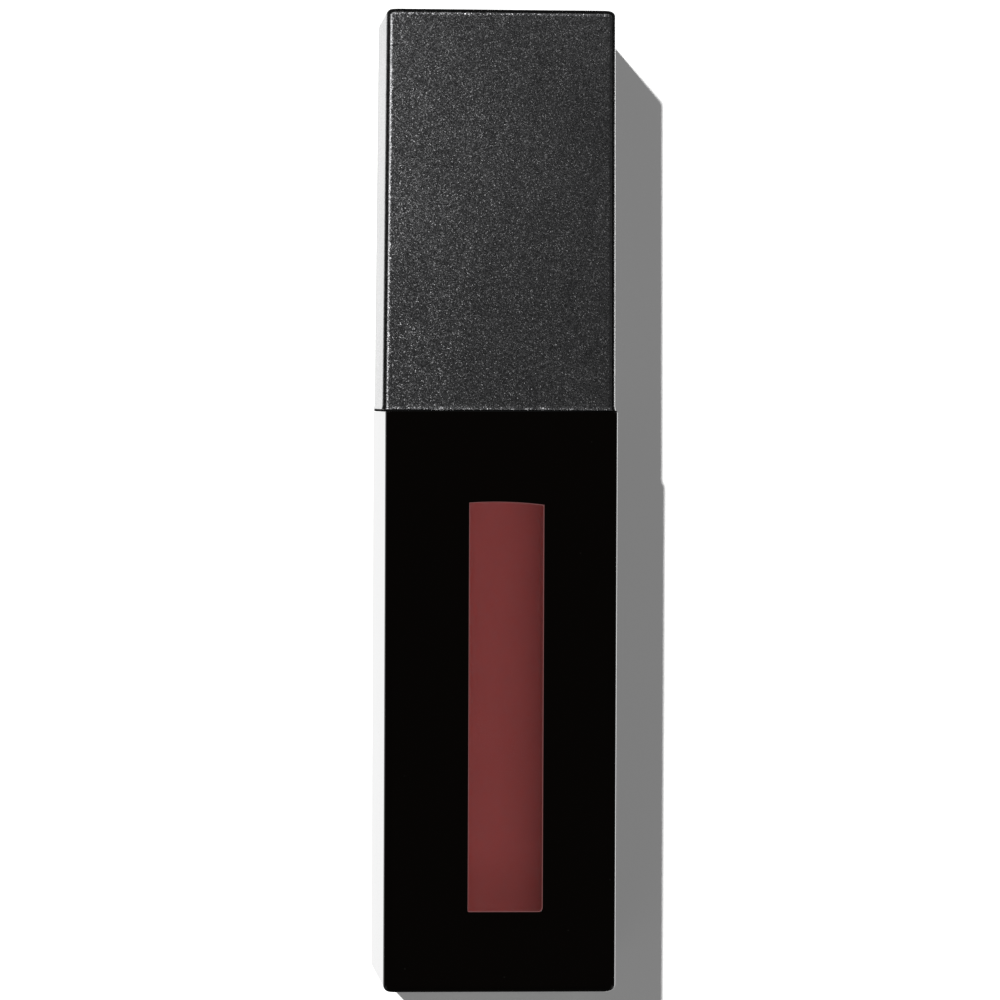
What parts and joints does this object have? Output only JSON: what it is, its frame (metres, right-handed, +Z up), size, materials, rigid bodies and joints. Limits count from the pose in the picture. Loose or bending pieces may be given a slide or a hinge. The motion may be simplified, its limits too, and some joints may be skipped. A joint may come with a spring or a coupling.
{
  "type": "lip colour tube",
  "caption": "Square lip colour tube: a black bottle with a tall window on the product, and a metallic screw cap with a doe-foot wand.",
  "frame": {"origin": "middle of the base, on the surface that the tube stands on", "axes": "+Z up along the tube, from the bottle to the cap; the window faces -Y"},
  "size_m": [0.02, 0.02, 0.0848],
  "materials": {
    "black_gloss": "deep black, polished",
    "gunmetal": "sprayed gunmetal lacquer with fine metallic flake",
    "clear": "clear polished plastic",
    "lip_colour": "dusty rose-brown liquid, satin",
    "natural_plastic": "natural, slightly milky",
    "black_plastic": "black, satin moulded",
    "foam": "white closed-cell foam",
    "soft_core": "soft natural elastomer",
    "flock": "short flock, stained by the product",
    "label": "plain paper film, no print"
  },
  "bodies": {
    "bottle": {"bottle_sleeve": "black_gloss", "base_label": "label", "window_lens": "clear", "vial": "clear", "lip_colour": "lip_colour", "shoulder_plate": "black_gloss", "wiper": "natural_plastic"},
    "liner": {"sealing_liner": "foam"},
    "cap": {"cap_shell": "gunmetal", "inner_cap": "black_plastic", "applicator_rod": "black_plastic", "applicator_core": "soft_core", "applicator_flock": "flock"}
  },
  "joints": [
    {"name": "cap_lift", "type": "slide", "parent": "bottle", "child": "liner", "axis": [0, 0, 1], "range_m": [0, 0.058]},
    {"name": "cap_turn", "type": "hinge", "parent": "liner", "child": "cap", "pos_m": [0, 0, 0], "axis": [0, 0, 1], "range_deg": [0, 450]}
  ]
}
